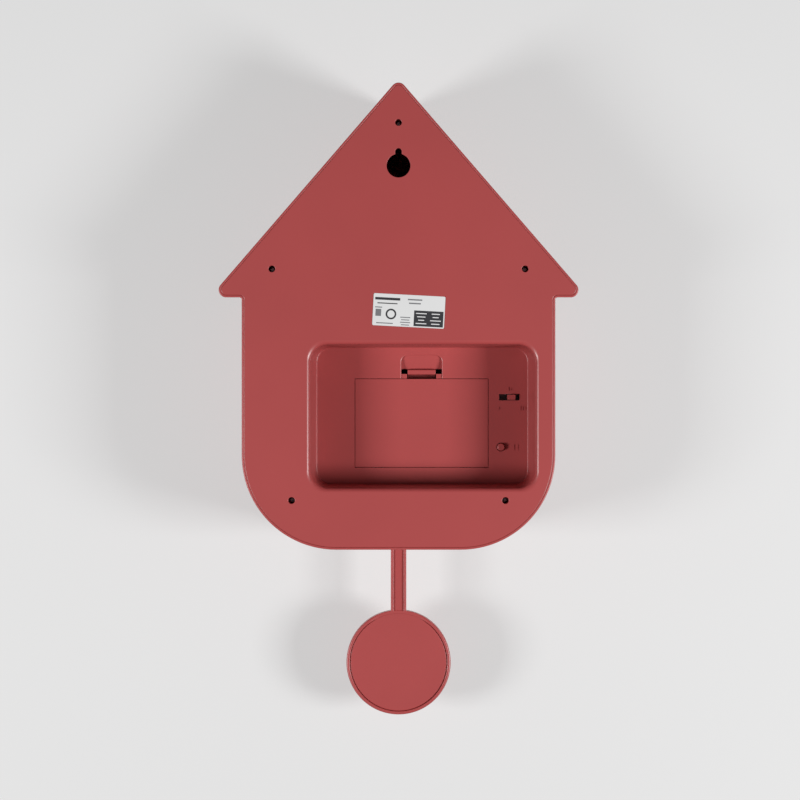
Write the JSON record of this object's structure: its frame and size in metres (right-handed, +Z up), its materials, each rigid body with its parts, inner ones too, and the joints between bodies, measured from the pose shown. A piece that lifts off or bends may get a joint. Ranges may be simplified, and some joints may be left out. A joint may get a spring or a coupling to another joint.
{
  "type": "cuckoo clock",
  "caption": "House-shaped battery cuckoo clock for a wall, with a dial, a bird behind a small door, a battery recess in its back and a hanging disc pendulum.",
  "frame": {"origin": "centre of the keyhole slot's round end on the back plane, where the wall screw carries the clock", "axes": "+Z up towards the gable, +Y out of the back towards the wall, +X to the right seen from the front"},
  "size_m": [0.2154, 0.0949, 0.386],
  "materials": {
    "red_plastic": "fine-grained moulded ABS",
    "black_plastic": "plain moulded",
    "grey_plastic": "plain moulded",
    "white_plastic": "satin",
    "yellow_plastic": "satin",
    "steel": "plain zinc-plated",
    "brass": "machined",
    "label_film": null,
    "board_green": "solder-masked glass epoxy",
    "cell_jacket": "plain printed jacket"
  },
  "bodies": {
    "housing": {"back_cover": "red_plastic", "battery_cell_1": "cell_jacket", "battery_cell_2": "cell_jacket", "battery_cell_3": "cell_jacket", "battery_spring_1": "steel", "battery_spring_2": "steel", "battery_spring_3": "steel", "battery_tub": "red_plastic", "bird_door_pin": "steel", "bird_motor": "grey_plastic", "board_screw_1": "steel", "board_screw_2": "steel", "button_switch": "black_plastic", "carriage_guide": "grey_plastic", "circuit_board": "board_green", "contact_link_bottom": "steel", "contact_link_top": "steel", "contact_negative": "steel", "contact_positive": "steel", "dial_face": "white_plastic", "front_shell": "red_plastic", "guide_screw_1": "steel", "guide_screw_2": "steel", "housing_screw_1": "steel", "housing_screw_2": "steel", "housing_screw_3": "steel", "housing_screw_4": "steel", "housing_screw_5": "steel", "movement_case": "black_plastic", "movement_cover": "black_plastic", "movement_nut": "brass", "pendulum_drive": "black_plastic", "pivot_pin": "steel", "rating_label": "label_film", "speaker": "black_plastic", "stepper_motor": "brass", "switch_body": "grey_plastic"},
    "battery_door": {"battery_door": "red_plastic"},
    "battery_latch": {"battery_latch": "red_plastic"},
    "volume_knob": {"switch_knob": "red_plastic"},
    "set_button": {"set_button": "red_plastic"},
    "minute_works": {"minute_arbor": "brass", "minute_hand": "black_plastic", "hand_cap": "steel"},
    "minute_wheel": {"minute_wheel": "brass"},
    "hour_works": {"hour_wheel": "brass", "hour_hand": "black_plastic"},
    "bird_carriage": {"bird_carriage": "white_plastic", "bird_body": "white_plastic", "bird_beak": "yellow_plastic"},
    "bird_door": {"bird_door": "red_plastic"},
    "motor_pinion": {"motor_pinion": "brass"},
    "pendulum": {"pendulum_rod": "red_plastic", "bob_cover": "red_plastic", "bob_weight": "steel", "pendulum_hanger": "black_plastic", "pendulum_magnet": "steel"}
  },
  "joints": [
    {"name": "battery_door_hinge", "type": "hinge", "parent": "housing", "child": "battery_door", "pos_m": [-0.0142, -0.037, -0.19012], "axis": [-1, 0, 0], "range_deg": [0, 75]},
    {"name": "battery_latch_press", "type": "hinge", "parent": "battery_door", "child": "battery_latch", "pos_m": [-0.0142, -0.0467, -0.13237], "axis": [-1, 0, 0], "range_deg": [0, 12], "stiffness_Nm_per_rad": 0.05},
    {"name": "volume_slide", "type": "slide", "parent": "housing", "child": "volume_knob", "axis": [1, 0, 0], "range_m": [-0.002, 0.002]},
    {"name": "set_button_press", "type": "slide", "parent": "housing", "child": "set_button", "axis": [0, -1, 0], "range_m": [0, 0.0015], "stiffness_N_per_m": 300},
    {"name": "minute_hand_turn", "type": "hinge", "parent": "housing", "child": "minute_works", "pos_m": [0, -0.0919, -0.15002], "axis": [0, 1, 0], "continuous": true},
    {"name": "minute_wheel_turn", "type": "hinge", "parent": "housing", "child": "minute_wheel", "pos_m": [0.012, -0.074, -0.15002], "axis": [0, 1, 0], "continuous": true},
    {"name": "hour_hand_turn", "type": "hinge", "parent": "housing", "child": "hour_works", "pos_m": [0, -0.0903, -0.15002], "axis": [0, 1, 0], "continuous": true},
    {"name": "bird_slide", "type": "slide", "parent": "housing", "child": "bird_carriage", "axis": [0, -1, 0], "range_m": [0, 0.03]},
    {"name": "bird_door_swing", "type": "hinge", "parent": "housing", "child": "bird_door", "pos_m": [-0.01565, -0.0847, -0.039], "axis": [0, 0, -1], "range_deg": [0, 95]},
    {"name": "motor_pinion_turn", "type": "hinge", "parent": "housing", "child": "motor_pinion", "pos_m": [0.0118, -0.0599, -0.0545], "axis": [0, 0, 1], "range_deg": [0, 430]},
    {"name": "pendulum_swing", "type": "hinge", "parent": "housing", "child": "pendulum", "pos_m": [0, -0.059, -0.20202], "axis": [0, 1, 0], "range_deg": [-8, 8]}
  ],
  "couplings": [
    {"joint": "minute_wheel_turn", "follows": "minute_hand_turn", "ratio": -0.33333},
    {"joint": "hour_hand_turn", "follows": "minute_hand_turn", "ratio": 0.083333},
    {"joint": "bird_door_swing", "follows": "bird_slide", "rad_per_m": 55.2},
    {"joint": "motor_pinion_turn", "follows": "bird_slide", "rad_per_m": 250}
  ]
}
